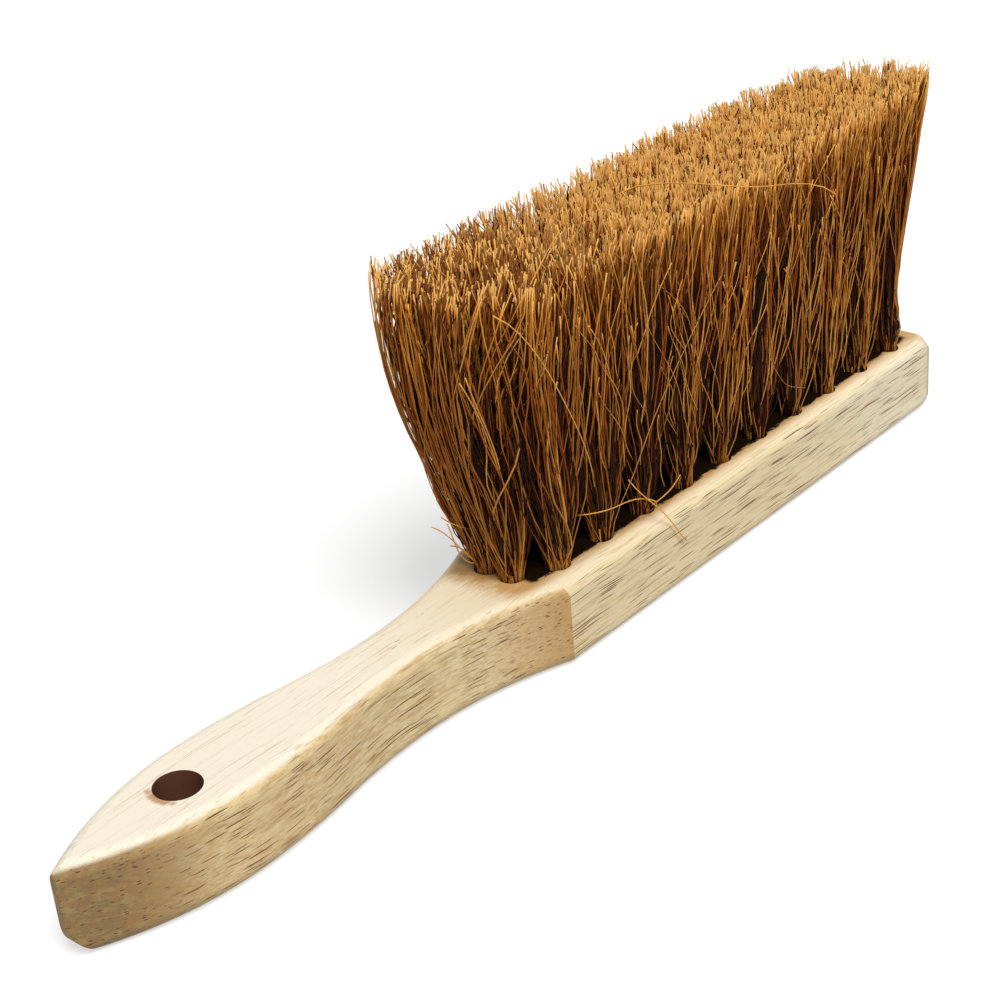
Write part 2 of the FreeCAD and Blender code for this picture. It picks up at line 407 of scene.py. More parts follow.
    def pores(self, tree: bpy.types.NodeTree, woven: Any, upward: Any, endward: Any) -> bpy.types.Node:
        """Opens the vessels, each of which is the middle of a long cell.

        Some are wider open than others, those cut across show as specks, and sanding has closed those
        on the broad faces to hair lines.

        Args:
            tree: The material's node tree.
            woven: Place in the grain.
            upward: How far the surface turns up or down.
            endward: How far it turns towards an end.

        Returns:
            How open the wood is.
        """
        closing = add_node(tree, "MapRange", self.facewise(upward, 1.0, self.face_closing))
        core = self.vessel_core * self.vessel_reach
        least, surest = self.vessel_chance
        turning, turned = self.vessel_turn
        pore: Any = 0.0
        for size, (lengthways, across) in zip(self.vessel_sizes, self.vessel_shares):
            drawn = add_node(tree, "Mapping", {"Vector": woven, "Scale": tuple(1 / side for side in size)})
            cells = add_node(tree, "TexVoronoi", {"Vector": drawn, "Scale": 1.0})
            outward = add_node(tree, "Math", {0: cells.outputs["Distance"], 1: closing}, operation="MULTIPLY")
            hollow = add_node(tree, "MapRange", {0: outward, 1: core, 2: self.vessel_reach, 3: 1.0, 4: 0.0})
            chance = add_node(tree, "SeparateColor", {0: cells.outputs["Color"]})
            width = add_node(tree, "MapRange", {0: chance, 1: least, 2: surest, 3: self.vessel_least, 4: 1.0})
            cut = add_node(tree, "MapRange", {0: endward, 1: turning, 2: turned, 3: lengthways, 4: across})
            width = add_node(tree, "Math", {0: width, 1: cut}, operation="MULTIPLY")
            opened = add_node(tree, "Math", {0: hollow, 1: width}, operation="MULTIPLY")
            pore = add_node(tree, "Math", {0: opened, 1: pore}, operation="MAXIMUM")
        shown = add_node(tree, "MapRange", self.facewise(upward, 1.0, self.face_vessels))
        return add_node(tree, "Math", {0: pore, 1: shown}, operation="MULTIPLY")

    def stains_and_shade(self, tree: bpy.types.NodeTree, axes: bpy.types.Node, ragged: Any, low: Vector,
               high: Vector) -> tuple[bpy.types.Node, bpy.types.Node]:
        """Browns the wood round the tufts with fibre debris and painted shade, and paints it black as painted
        shade up to the middle of the outer rows.

        The tufts stand in a box of the wood, a little narrower at the near end. Each of the two is the
        product of a ramp over each edge of that box, which a pattern makes ragged.

        Args:
            tree: The material's node tree.
            axes: The three coordinates.
            ragged: Pattern that breaks up the edges.
            low: Lowest corner of the box.
            high: Its highest corner.

        Returns:
            How much brown (fibre debris with painted shade) and how much black painted shade the wood gets.
        """
        along, aside, up = axes.outputs
        narrowed = add_node(
            tree, "MapRange", {0: along, 1: low.x, 2: low.x + self.row_run, 3: self.row_draw_in, 4: 0.0},
        )
        aside = add_node(tree, "Math", {0: aside}, operation="ABSOLUTE")
        aside = add_node(tree, "Math", {0: aside, 1: narrowed}, operation="ADD")
        aside = add_node(tree, "Math", {0: ragged, 1: self.stain_and_shade_ragged, 2: aside}, operation="MULTIPLY_ADD")
        ramps = {}
        for name, coordinate, edge, (start, full) in (
            ("dust_start", along, low.x, self.dust_start),
            ("dust_beside", aside, high.y, self.dust_beside),
            ("soot_start", along, low.x, self.soot_start),
            ("soot_end", along, high.x, self.soot_end),
            ("soot_beside", aside, high.y, self.soot_beside),
            ("depth", up, high.z, self.stain_and_shade_depth),
        ):
            ramps[name] = add_node(tree, "MapRange", {0: coordinate, 1: edge + start, 2: edge + full})
        dust_and_shade_share = ramps["dust_start"]
        for factor in (ramps["depth"], ramps["dust_beside"], ragged):
            dust_and_shade_share = add_node(tree, "Math", {0: dust_and_shade_share, 1: factor}, operation="MULTIPLY")
        between_tufts_shading = ramps["soot_start"]
        for factor in (ramps["soot_end"], ramps["soot_beside"], ramps["depth"]):
            between_tufts_shading = add_node(tree, "Math", {0: between_tufts_shading, 1: factor}, operation="MULTIPLY")
        return dust_and_shade_share, between_tufts_shading

    def drilling(self, tree: bpy.types.NodeTree, spot: Any, along: Any, ragged: Any,
                 hole: dict[str, Any]) -> tuple[bpy.types.Node, bpy.types.Node]:
        """Finds the hang hole's wall, the only wood so near its axis, and the rim that the drill has torn.

        The rim is torn on the side of the handle's end.

        Args:
            tree: The material's node tree.
            spot: Place in the wood.
            along: Millimetres along the broom.
            ragged: Pattern of the torn rim.
            hole: The record's mount for the hang hole.

        Returns:
            Millimetres from the hole's axis, and how torn the wood is.
        """
        centre = (hole["pos_m"][0], hole["pos_m"][1], 0.0)
        flat = add_node(tree, "VectorMath", {0: spot, 1: (1.0, 1.0, 0.0)}, operation="MULTIPLY")
        away = add_node(tree, "VectorMath", {0: flat, 1: centre}, operation="DISTANCE").outputs["Value"]
        away = add_node(tree, "Math", {0: away, 1: 1 / MM}, operation="MULTIPLY")
        wall = hole["dims"]["r_mm"]
        first = centre[0] / MM - wall
        start, full = self.torn_edge
        tearing = add_node(tree, "MapRange", {0: away, 1: wall + start, 2: wall + full})
        endmost = add_node(tree, "MapRange", {0: along, 1: first + self.torn_side, 2: first})
        for factor in (endmost, ragged):
            tearing = add_node(tree, "Math", {0: tearing, 1: factor}, operation="MULTIPLY")
        return away, tearing


@dataclass(frozen=True)
class CoirFibre:
    """Retted coconut husk fibre, combed and cut.

    It is a hard, dull fibre: orange brown, golden towards the tips and lighter still where it is cut, where
    the lighter ends are partly their own colour and partly a painted glint, with russet, straw coloured and
    near-black ones among it. The near-black is partly a few dark fibres and mostly painted shade: most fibres
    are painted dark below their tips for the shade inside the block. Each piece carries the height in the
    block, the reach along the fibre and how dark (its own tone and painted shade), how pale (with painted
    light on the tips away from the handle) and how red the fibre is.
    """

    root: str = "#C68A40"
    middle: Layer = Layer("#C67428", 0.0, 0.5)
    tip: Layer = Layer("#EE9B34", 0.68, 0.95)
    russet: Layer = Layer("#96480E", 0.0, 1.0, 0.85)
    straw: Layer = Layer("#F2B256", 0.0, 0.9, 0.9)
    mottle: Layer = Layer("#743A10", 0.5, 0.8, 0.5)
    # Cut ends: lighter, partly their own colour and partly a painted glint.
    cut: Layer = Layer("#FFCC76", 0.95, 1.0, 0.7)
    # Painted shade: darkness from about 0.4 up is mostly painted shade inside the block, red-brown where
    # partly dark and near-black where full; lower darkness is each fibre's own tone.
    shade: Layer = Layer("#70320A", 0.0, 0.55, 0.9)
    dark: Layer = Layer("#120602", 0.4, 1.0, 0.98)
    mottle_size: float = 4.0 * MM
    roughness: float = 0.62
    refraction: float = 1.5
    gloss: float = 0.1

    def material(self) -> bpy.types.Material:
        """Builds the node material on the fibres' own height, reach, darkness, paleness and redness, where
        darkness is mostly painted shade and paleness holds some painted light.
        """
        made, tree = new_material("coir_fibre_combed")
        look = {}
        for name in ("height", "reach", "darkness", "paleness", "redness"):
            look[name] = add_node(tree, "Attribute", attribute_name=name).outputs["Fac"]
        spot = add_node(tree, "TexCoord").outputs["Object"]
        patches = add_node(tree, "TexNoise", {"Vector": spot, "Scale": 1 / self.mottle_size})
        colour = lay(tree, self.root, (
            (look["height"], self.middle),
            (look["height"], self.tip),
            (look["redness"], self.russet),
            (look["paleness"], self.straw),
            (patches, self.mottle),
            (look["reach"], self.cut),
            (look["darkness"], self.shade),
            (look["darkness"], self.dark),
        ))
        surface = {"Roughness": self.roughness, "IOR": self.refraction, "Specular IOR Level": self.gloss}
        shader = add_node(tree, "BsdfPrincipled", {"Base Color": colour, **surface})
        add_node(tree, "OutputMaterial", {"Surface": shader})
        return made


@dataclass(frozen=True)
class GalvanisedWire:
    """Flat galvanised steel wire, cropped to length: a dull grey metal with fine drawing lines."""

    zinc: str = "#9C9D9C"
    scuffed: str = "#757472"
    line_size: Pair = (1.0 * MM, 0.2 * MM)
    relief: float = 0.2
    relief_height: float = 0.02 * MM
    roughness: float = 0.42

    def material(self) -> bpy.types.Material:
        """Builds the node material, with the drawing lines along the wire."""
        made, tree = new_material("galvanised_wire_drawn")
        spot = add_node(tree, "TexCoord").outputs["Object"]
        length, width = self.line_size
        lines = add_node(tree, "Mapping", {"Vector": spot, "Scale": (1 / length, 1 / width, 1 / width)})
        wear = add_node(tree, "TexNoise", {"Vector": lines, "Scale": 1.0, "Detail": 2.0})
        colours = {6: linear(self.zinc), 7: linear(self.scuffed)}
        colour = add_node(tree, "Mix", {0: wear, **colours}, data_type="RGBA").outputs[2]
        bump = add_node(
            tree, "Bump", {"Height": wear, "Strength": self.relief, "Distance": self.relief_height},
        )
        shader = add_node(
            tree, "BsdfPrincipled",
            {"Base Color": colour, "Metallic": 1.0, "Roughness": self.roughness, "Normal": bump},
        )
        add_node(tree, "OutputMaterial", {"Surface": shader})
        return made


@dataclass
class Fibres:
    """Fibres as arrays.

    Attributes:
        paths: Points of each fibre from its root to its tip, in metres.
        radii: Radius at each of those points.
        looks: Values at each of those points by name: height in the block, reach along the fibre, darkness
            (own tone and painted shade), paleness (with some painted light) and redness, each from 0 to 1.
    """

    paths: np.ndarray
    radii: np.ndarray
    looks: dict[str, np.ndarray]

    def piece(self, name: str, sides: int = 3) -> bpy.types.Object:
        """Makes one mesh of all the fibres, each a closed tube round its path.

        The ring at each point lies square to the path, on two directions that are square to it and to
        each other, and a fibre's rings are joined by a band of quads with a flat cap at each end.

        Args:
            name: Name of the piece.
            sides: Sides of each tube.

        Returns:
            The piece, with the looks as attributes.
        """
        count, rings, _ = self.paths.shape
        along = np.gradient(self.paths, axis=1)
        along /= np.linalg.norm(along, axis=2, keepdims=True)
        first = np.cross(along, np.array(ASIDE))
        first /= np.linalg.norm(first, axis=2, keepdims=True)
        second = np.cross(along, first)
        turn = np.arange(sides) * 2 * math.pi / sides
        ring = (
            np.cos(turn)[None, None, :, None] * first[:, :, None, :]
            + np.sin(turn)[None, None, :, None] * second[:, :, None, :]
        )
        points = self.paths[:, :, None, :] + self.radii[:, :, None, None] * ring
        number = np.arange(count * rings * sides).reshape(count, rings, sides)
        beside = np.roll(number, -1, axis=2)
        band = np.stack([number[:, :-1], beside[:, :-1], beside[:, 1:], number[:, 1:]], axis=-1)
        faces = [band.reshape(-1, 4), number[:, 0, ::-1], number[:, -1]]
        piece = new_piece(name, points.reshape(-1, 3), faces)
        for label, values in self.looks.items():
            attribute = piece.data.attributes.new(label, "FLOAT", "POINT")
            attribute.data.foreach_set("value", np.repeat(values.ravel(), sides).astype(np.float32))
        return piece


@dataclass
class Outline:
    """The bristle block's box in plan at each height, as its solids have it.

    Attributes:
        heights: Heights at which the solids have corners, from the wood's face to the tips.
        low: Lowest corner in plan at each of them.
        high: Highest corner in plan at each of them.
    """

    heights: np.ndarray
    low: np.ndarray
    high: np.ndarray

    @classmethod
    def read(cls, solids: list[bpy.types.Object], mouth: float) -> "Outline":
        """Reads the outline from the corners of the tufts' solids.

        Args:
            solids: The tufts' solids.
            mouth: Height of the wood's face.

        Returns:
            The outline.
        """
        corners = np.array([vertex.co for solid in solids for vertex in solid.data.vertices])
        heights = np.unique(corners[:, 2].round(LEVEL_DECIMALS))
        heights = heights[heights > mouth - END_SLACK]
        levels = [corners[np.abs(corners[:, 2] - height) < LEVEL_SLACK][:, :2] for height in heights]
        low = np.array([level.min(0) for level in levels])
        high = np.array([level.max(0) for level in levels])
        return cls(heights, low, high)

    def at(self, height: np.ndarray) -> tuple[np.ndarray, np.ndarray]:
        """The box in plan at any heights, straight between the solids' own.

        Args:
            height: The heights.

        Returns:
            The lowest and the highest corner at each height.
        """
        low = np.stack([np.interp(height, self.heights, self.low[:, axis]) for axis in (0, 1)], axis=-1)
        high = np.stack([np.interp(height, self.heights, self.high[:, axis]) for axis in (0, 1)], axis=-1)
        return low, high


@dataclass
class TuftSolid:
    """The two ends of a tuft's solid.

    Attributes:
        foot: Middle of the end in the hole.
        hole: Radius of that end.
        tip: Middle of the rectangle at the other end.
        half: Half its sides.
    """

    foot: np.ndarray
    hole: float
    tip: np.ndarray
    half: np.ndarray

    @classmethod
    def read(cls, node: bpy.types.Object) -> "TuftSolid":
        """Reads the two ends from the solid's lowest and highest corners.

        Args:
            node: The tuft's solid.

        Returns:
            Its ends.
        """
        corners = np.array([vertex.co for vertex in node.data.vertices])
        bottom = corners[corners[:, 2] < corners[:, 2].min() + END_SLACK]
        top = corners[corners[:, 2] > corners[:, 2].max() - END_SLACK]
        foot = (bottom.min(0) + bottom.max(0)) / 2
        hole = (bottom.max(0) - bottom.min(0))[0] / 2
        return cls(foot, hole, (top.min(0) + top.max(0)) / 2, (top.max(0) - top.min(0))[:2] / 2)


@dataclass
class Bundle:
    """The fibres of one tuft as they are set out, before they get their lines.

    Attributes:
        solid: The tuft's solid.
        roots: Places of the roots in plan.
        tips: Places of the tips in plan.
        clump: Number of each fibre's clump.
        stray: Which fibres stray from the tuft.
        shaded: Which fibres are painted dark as painted shade.
        near: How near the tuft stands to the end of the block by the handle, from 0 to 1.
    """

    solid: TuftSolid
    roots: np.ndarray
    tips: np.ndarray
    clump: np.ndarray
    stray: np.ndarray
    shaded: np.ndarray
    near: float


@dataclass
class BristleBlock:
    """The tufts, each a bundle of loose fibres that fans out from its hole to its share of the tips.

    Pairs named for a spread are the two parameters of a random draw, and those named for a run are
    where something starts and where it is full.
    """

    # The fibres of each tuft.
    fibres_per_tuft: int = 290
    clumps_per_tuft: int = 17
    rings: int = 16
    root_depth: float = 4.0 * MM
    thickest: float = 0.47 * MM
    thinnest: float = 0.2 * MM
    thickness_spread: Pair = (1.6, 2.6)
    tip_taper: float = 0.95

    # How they fan out, and how many stray.
    clump_pull: float = 0.72
    overlap: float = 1.12
    flare: float = 2.7
    flare_turn: float = 0.35
    tip_scatter: float = 2.2 * MM
    stray_share: float = 0.28
    stray_lean: float = 10.0 * MM
    stray_start: float = 1.8

    # How they are cut.
    clump_height: float = 1.9 * MM
    ragged: float = 0.5 * MM
    blunted: float = 0.45
    short_share: float = 0.32
    short_by: float = 24.0 * MM
    near_rise: float = 1.5 * MM
    far_fall: float = 0.4 * MM
    far_twist: float = 2.4 * MM

    # How they bend.
    bow: float = 2.2 * MM
    sway: float = 1.4 * MM
    ripple: float = 0.45 * MM
    ripple_waves: Pair = (1.5, 3.5)
    tip_kick: float = 0.8 * MM
    kick_start: float = 0.8

    # The form of the block. Slopes are for each share of a fibre's length.
    belly: float = 3.9 * MM
    belly_reach: float = 40.0 * MM
    belly_skew: float = 1.3
    corner: float = 12.0 * MM
    back_corner: float = 7.0 * MM
    corner_start: float = 0.4
    corner_slope: float = 5.0
    near_draw_in: float = 4.5 * MM
    near_ragged: float = 1.2 * MM
    foot_draw_in: float = 4.5 * MM
    foot_slope: float = 2.5
    # How far the fibres painted dark as painted shade are sunk under the outline, at the root and along the
    # fibre.
    sunk: float = 1.3 * MM
    sunk_root: float = 0.4
    sunk_slope: float = 3.0
    sunk_tip_slope: float = 4.0
    margin: Pair = (0.4 * MM, 5.0 * MM)
    margin_least: float = 0.05

    # Which fibres are painted dark as painted shade, and how that painted shade lifts at tips and feet and
    # deepens inside the block.
    dark_share: float = 0.91
    stray_dark: float = 0.66
    near_lighter: float = 0.4
    dark_spread: Pair = (0.78, 1.0)
    light_spread: Pair = (0.0, 0.28)
    dark_tips: float = 0.08
    tip_run: Pair = (0.66, 0.96)
    tip_glow: float = 0.4
    # Painted light: tips away from the handle lift further out of the painted shade.
    far_lit_glow: float = 0.38
    lit_feet: float = 0.16
    foot_run: Pair = (0.35, 0.1)
    foot_glow: float = 0.85
    buried: float = 4.0 * MM
    buried_run: Pair = (0.86, 0.56)
    buried_least: float = 0.3
    buried_dark: float = 0.95

    # How pale and how red they are; tips away from the handle are painted paler as painted light.
    pale_spread: Pair = (0.03, 0.36)
    stray_paler: float = 0.2
    near_paler: float = 0.25
    far_lit_run: Pair = (20.0 * MM, 60.0 * MM)
    far_lit_paler: float = 0.15
    red_spread: Pair = (1.5, 1.4)
    seed: int = 41

    def trim(self, place: np.ndarray, outline: Outline) -> np.ndarray:
        """How far the tips stand above the flat cut: a little at the near end, and skewed at the far end.

        Args:
            place: Points in plan, one row each.
            outline: Outline of the whole block.

        Returns:
            The height to add at each point: the squared distance from the middle towards an end, times
            that end's rise, which at the far end falls from the front to the back.
        """
        shares = 2 * (place - outline.low[-1]) / (outline.high[-1] - outline.low[-1]) - 1
        near = np.clip(-shares[:, 0], 0, 1) ** 2
        far = np.clip(shares[:, 0], 0, 1) ** 2
        return self.near_rise * near - far * (self.far_fall + self.far_twist * np.clip(shares[:, 1], -1, 1))

    def bundle(self, solid: TuftSolid, outline: Outline, draw: np.random.Generator) -> Bundle:
        """Sets out the roots and tips of one tuft.

        The roots fill the hole on a sunflower spiral. Each root's place on the disc is stretched to
        the same place on the rectangle that the solid ends in, drawn towards its clump, and scattered.

        Args:
            solid: The tuft's solid.
            outline: Outline of the whole block.
            draw: The tuft's random numbers.

        Returns:
            The bundle.
        """
        count = self.fibres_per_tuft
        half = solid.half * self.overlap
        disc = self.sunflower(count, draw)
        clumps = self.sunflower(self.clumps_per_tuft, draw)
        clump = np.argmin(((disc[:, None] - clumps[None]) ** 2).sum(2), axis=1)
        spread = self.to_square(disc) * (1 - self.clump_pull)
        spread += self.to_square(clumps)[clump] * self.clump_pull
        tips = solid.tip[:2] + spread * half
        tips += draw.normal(0, self.tip_scatter, (self.clumps_per_tuft, 2))[clump]
        stray = draw.random(count) < self.stray_share
        tips += stray[:, None] * draw.normal(0, self.stray_lean, (count, 2))
        near = np.clip(1 - (solid.foot[0] - outline.low[0, 0]) / self.belly_reach, 0, 1)
        # Share of fibres painted dark as painted shade: less near the handle and among strays.
        dark_share = np.where(stray, self.stray_dark, 1) * (self.dark_share - self.near_lighter * near)
        shaded = draw.random(count) < dark_share
        drawn_in = self.sunk_root * np.where(shaded, self.sunk, 0)[:, None]
        roots = solid.foot[:2] + disc * (solid.hole - self.thinnest / 2 - drawn_in)
        return Bundle(solid, roots, tips, clump, stray, shaded, near)

    def heights(self, bundle: Bundle, mouth: float, outline: Outline,
                draw: np.random.Generator) -> tuple[np.ndarray, np.ndarray]:
        """Cuts the fibres of one tuft to length, those of a clump much alike and some far shorter.

        Args:
            bundle: The tuft's bundle.
            mouth: Height of the wood's face.
            outline: Outline of the whole block.
            draw: The tuft's random numbers.

        Returns:
            Height above the wood's face at each point of each fibre, and its share of the free length.
        """
        count = self.fibres_per_tuft
        uneven = draw.normal(0, self.ragged, count)
        uneven += draw.normal(0, self.clump_height, self.clumps_per_tuft)[bundle.clump]
        length = bundle.solid.tip[2] - mouth + self.trim(bundle.tips, outline)
        length += uneven * np.where(uneven > 0, self.blunted, 1)
        length -= (draw.random(count) < self.short_share) * draw.random(count) ** 2 * self.short_by
        rise = np.linspace(0, 1, self.rings)
        above = -self.root_depth + rise[None] * (length[:, None] + self.root_depth)
        return above, np.clip(above / length[:, None], 0, None)

    def lines(self, bundle: Bundle, share: np.ndarray, draw: np.random.Generator) -> np.ndarray:
        """Draws the lines of one tuft's fibres in plan.

        A fibre runs from its root to its tip with a flare, the share s plus a cubic that is nothing at
        both ends, or as a power of s if it strays. It has a bow of half a sine wave, a sway of a whole
        one, a ripple, and a kick of the last part aside.

        Args:
            bundle: The tuft's bundle.
            share: Share of the free length at each point.
            draw: The tuft's random numbers.

        Returns:
            The lines.
        """
        count = self.fibres_per_tuft
        share = share[:, :, None]
        run = share + self.flare * share * (1 - share) * (share - self.flare_turn)
        run = np.where(bundle.stray[:, None, None], share ** self.stray_start, run)
        curve = draw.normal(0, self.bow, (count, 1, 2)) * np.sin(math.pi * share)
        curve += draw.normal(0, self.sway, (count, 1, 2)) * np.sin(2 * math.pi * share)
        phase = draw.random((count, 1, 2)) * 2 * math.pi
        pace = draw.uniform(*self.ripple_waves, (count, 1, 1)) * 2 * math.pi
        curve += self.ripple * share * np.sin(share * pace + phase)
        kicked = np.clip((share - self.kick_start) / (1 - self.kick_start), 0, 1) ** 2
        curve += draw.normal(0, self.tip_kick, (count, 1, 2)) * kicked
        return bundle.roots[:, None] + (bundle.tips - bundle.roots)[:, None] * run + curve

    def gather(self, bundle: Bundle, level: np.ndarray, share: np.ndarray, height: np.ndarray,
               outline: Outline, draw: np.random.Generator) -> tuple[np.ndarray, np.ndarray]:
        """Gathers the lines of one tuft into the block's form.

        Near the handle the fibres belly out by a skewed half wave, and the edge above is drawn in. The
        outline has its corners rounded by a square law, less behind than in front, and the fibres painted
        dark as painted shade are sunk a little under it. What comes near it is pressed inwards by a
        hyperbolic tangent, over a margin of the fibre's own.

        Args:
            bundle: The tuft's bundle.
            level: The lines in plan.
            share: Share of the free length at each of their points.
            height: Height of each point.
            outline: Outline of the whole block.
            draw: The tuft's random numbers.

        Returns:
            The gathered lines, and how deep each point lies in the block.
        """
        count = self.fibres_per_tuft
        low, high = outline.at(height)
        belly = self.belly * np.sin(math.pi * np.clip(share, 0, 1) ** self.belly_skew)
        near = np.clip(1 - (bundle.tips[:, 0] - outline.low[-1, 0]) / self.belly_reach, 0, 1)
        level[:, :, 0] -= near[:, None] * belly
        aside = np.clip(np.abs(level[:, :, 1]) / high[:, :, 1], 0, 1)
        rounding = np.clip((aside - self.corner_start) / (1 - self.corner_start), 0, 1) ** 2
        rounding *= np.clip(self.corner_slope * share, 0, 1)
        corner = np.where(level[:, :, 1] < 0, self.corner, self.back_corner)
        drawn_in = self.near_draw_in + draw.normal(0, self.near_ragged, (count, 1))
        low[:, :, 0] += corner * rounding - belly + drawn_in * share ** 3
        high[:, :, 0] -= self.corner * rounding
        depth = np.minimum(level - low, high - level).min(2)
        depth -= self.foot_draw_in * np.clip(1 - self.foot_slope * share, 0, 1)
        sunk = np.where(bundle.shaded, self.sunk, 0)[:, None] * np.clip(self.sunk_slope * share, 0, 1)
        sunk = (sunk * np.clip(self.sunk_tip_slope * (1 - share), 0, 1))[:, :, None]
        margin = draw.uniform(*self.margin, (count, 1, 1)) * np.clip(share, self.margin_least, 1)[:, :, None]
        inner = low + sunk + margin
        level = np.maximum(level, inner - margin * np.tanh(np.maximum(inner - level, 0) / margin))
        inner = high - sunk - margin
        level = np.minimum(level, inner + margin * np.tanh(np.maximum(level - inner, 0) / margin))
        return level, depth

    def looks(self, bundle: Bundle, height: np.ndarray, depth: np.ndarray, from_end: np.ndarray,
              draw: np.random.Generator) -> dict[str, np.ndarray]:
        """Works out the colour values along the fibres of one tuft.

        Most fibres are painted dark as painted shade. Nearly all tips come out of that painted shade, more so
        away from the handle, where they are also painted paler as painted light, and so do a few feet. What
        lies deep in the block gets more painted shade.

        Args:
            bundle: The tuft's bundle.
            height: Height in the block at each point, from 0 to 1.
            depth: How deep each point lies in the block.
            from_end: How far each point lies from the end of the block by the handle.
            draw: The tuft's random numbers.

        Returns:
            The values by name.
        """
        count = self.fibres_per_tuft
        dark = draw.uniform(*self.dark_spread, count)
        dark = np.where(bundle.shaded, dark, draw.uniform(*self.light_spread, count))
        tip = (draw.random(count) > self.dark_tips)[:, None] * self.ramp(height, self.tip_run)
        foot = (draw.random(count) < self.lit_feet)[:, None] * self.ramp(height, self.foot_run)
        # Painted shade deep inside the block, below its top.
        buried = np.clip(depth / self.buried, 0, 1) * self.ramp(height, self.buried_run)
        buried *= draw.uniform(self.buried_least, 1, (count, 1))
        pale = draw.normal(*self.pale_spread, count) + self.stray_paler * bundle.stray
        pale = np.clip(pale + self.near_paler * bundle.near, 0, 1)
        # Painted light: tips away from the handle are lighter and paler.
        far_lit = self.ramp(from_end, self.far_lit_run)
        glow = np.maximum((self.tip_glow + self.far_lit_glow * far_lit) * tip, self.foot_glow * foot)
        return {
            "height": height,
            "reach": np.repeat(np.linspace(0, 1, self.rings)[None], count, axis=0),
            "darkness": np.maximum(dark[:, None] * (1 - glow), self.buried_dark * buried),
            "paleness": np.clip(pale[:, None] + self.far_lit_paler * far_lit * tip, 0, 1),
            "redness": np.repeat(draw.beta(*self.red_spread, count)[:, None], self.rings, axis=1),
        }

    def tuft(self, node: bpy.types.Object, mouth: float, outline: Outline, seed: int) -> Fibres:
        """Works out the fibres of one tuft from its solid: set out, cut, drawn, gathered and coloured.

        Args:
            node: The tuft's solid.
            mouth: Height of the wood's face.
            outline: Outline of the whole block.
            seed: Seed of the tuft's own random numbers.

        Returns:
            The tuft's fibres.
        """
        draw = np.random.default_rng(seed)
        bundle = self.bundle(TuftSolid.read(node), outline, draw)
        above, share = self.heights(bundle, mouth, outline, draw)
        level = self.lines(bundle, share, draw)
        level, depth = self.gather(bundle, level, share, mouth + above, outline, draw)
        paths = np.concatenate([level, (mouth + above)[:, :, None]], axis=2)

        thicker = (self.thickest - self.thinnest) * draw.beta(*self.thickness_spread, len(paths))
        taper = 1 - (1 - self.tip_taper) * np.linspace(0, 1, self.rings) ** 2
        radii = ((self.thinnest + thicker) / 2)[:, None] * taper[None]
        height = np.clip(above / (bundle.solid.tip[2] - mouth), 0, 1)
        from_end = level[:, :, 0] - outline.low[-1, 0]
        return Fibres(paths, radii, self.looks(bundle, height, depth, from_end, draw))

    @staticmethod
    def ramp(values: np.ndarray, run: Pair) -> np.ndarray:
        """Rises from 0 where the values are at the start of a run to 1 where it is full."""
        return np.clip((values - run[0]) / (run[1] - run[0]), 0, 1)

    @staticmethod
    def sunflower(count: int, draw: np.random.Generator) -> np.ndarray:
        """Points spread evenly over the unit disc, on a spiral that turns by the golden angle.

        Args:
            count: Number of points.
            draw: Random numbers, for the spiral's start.

        Returns:
            The points, one row each.
        """
        number = np.arange(count)
        reach = np.sqrt((number + 0.5) / count)
        angle = number * math.pi * (3 - math.sqrt(5)) + draw.random() * 2 * math.pi
        return np.stack([reach * np.cos(angle), reach * np.sin(angle)], axis=1)

    @staticmethod
    def to_square(disc: np.ndarray) -> np.ndarray:
        """Stretches the unit disc to the square round it, each circle to an ellipse's grid line.

        Args:
            disc: Points of the unit disc.

        Returns:
            Points of the square from -1 to 1.
        """
        u, v = disc[:, 0], disc[:, 1]
        across = 2 * math.sqrt(2)
        x = np.sqrt(np.maximum(2 + u * u - v * v + across * u, 0))
        x -= np.sqrt(np.maximum(2 + u * u - v * v - across * u, 0))
        y = np.sqrt(np.maximum(2 - u * u + v * v + across * v, 0))
        y -= np.sqrt(np.maximum(2 - u * u + v * v - across * v, 0))
        return np.stack([x, y], axis=1) / 2

    def build(self, nodes: dict[str, bpy.types.Object], tufts: list[str], mouth: float, outline: Outline,
              material: bpy.types.Material) -> None:
        """Makes a piece of loose fibres for every tuft and hides the tuft's solid.

        Args:
            nodes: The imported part's nodes.
            tufts: Names of the tufts among them.
            mouth: Height of the wood's face.
            outline: Outline of the whole block.
            material: Material of the fibres.
        """
        for number, name in enumerate(tufts):
            fibres = self.tuft(nodes[name], mouth, outline, self.seed + number)
            piece = fibres.piece(name.replace("tuft", "fibres"))
            piece.data.materials.append(material)
            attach(piece, "root")
            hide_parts(name)
            LOG.info("%s: %d fibres, %d faces", piece.name, len(fibres.paths), len(piece.data.polygons))


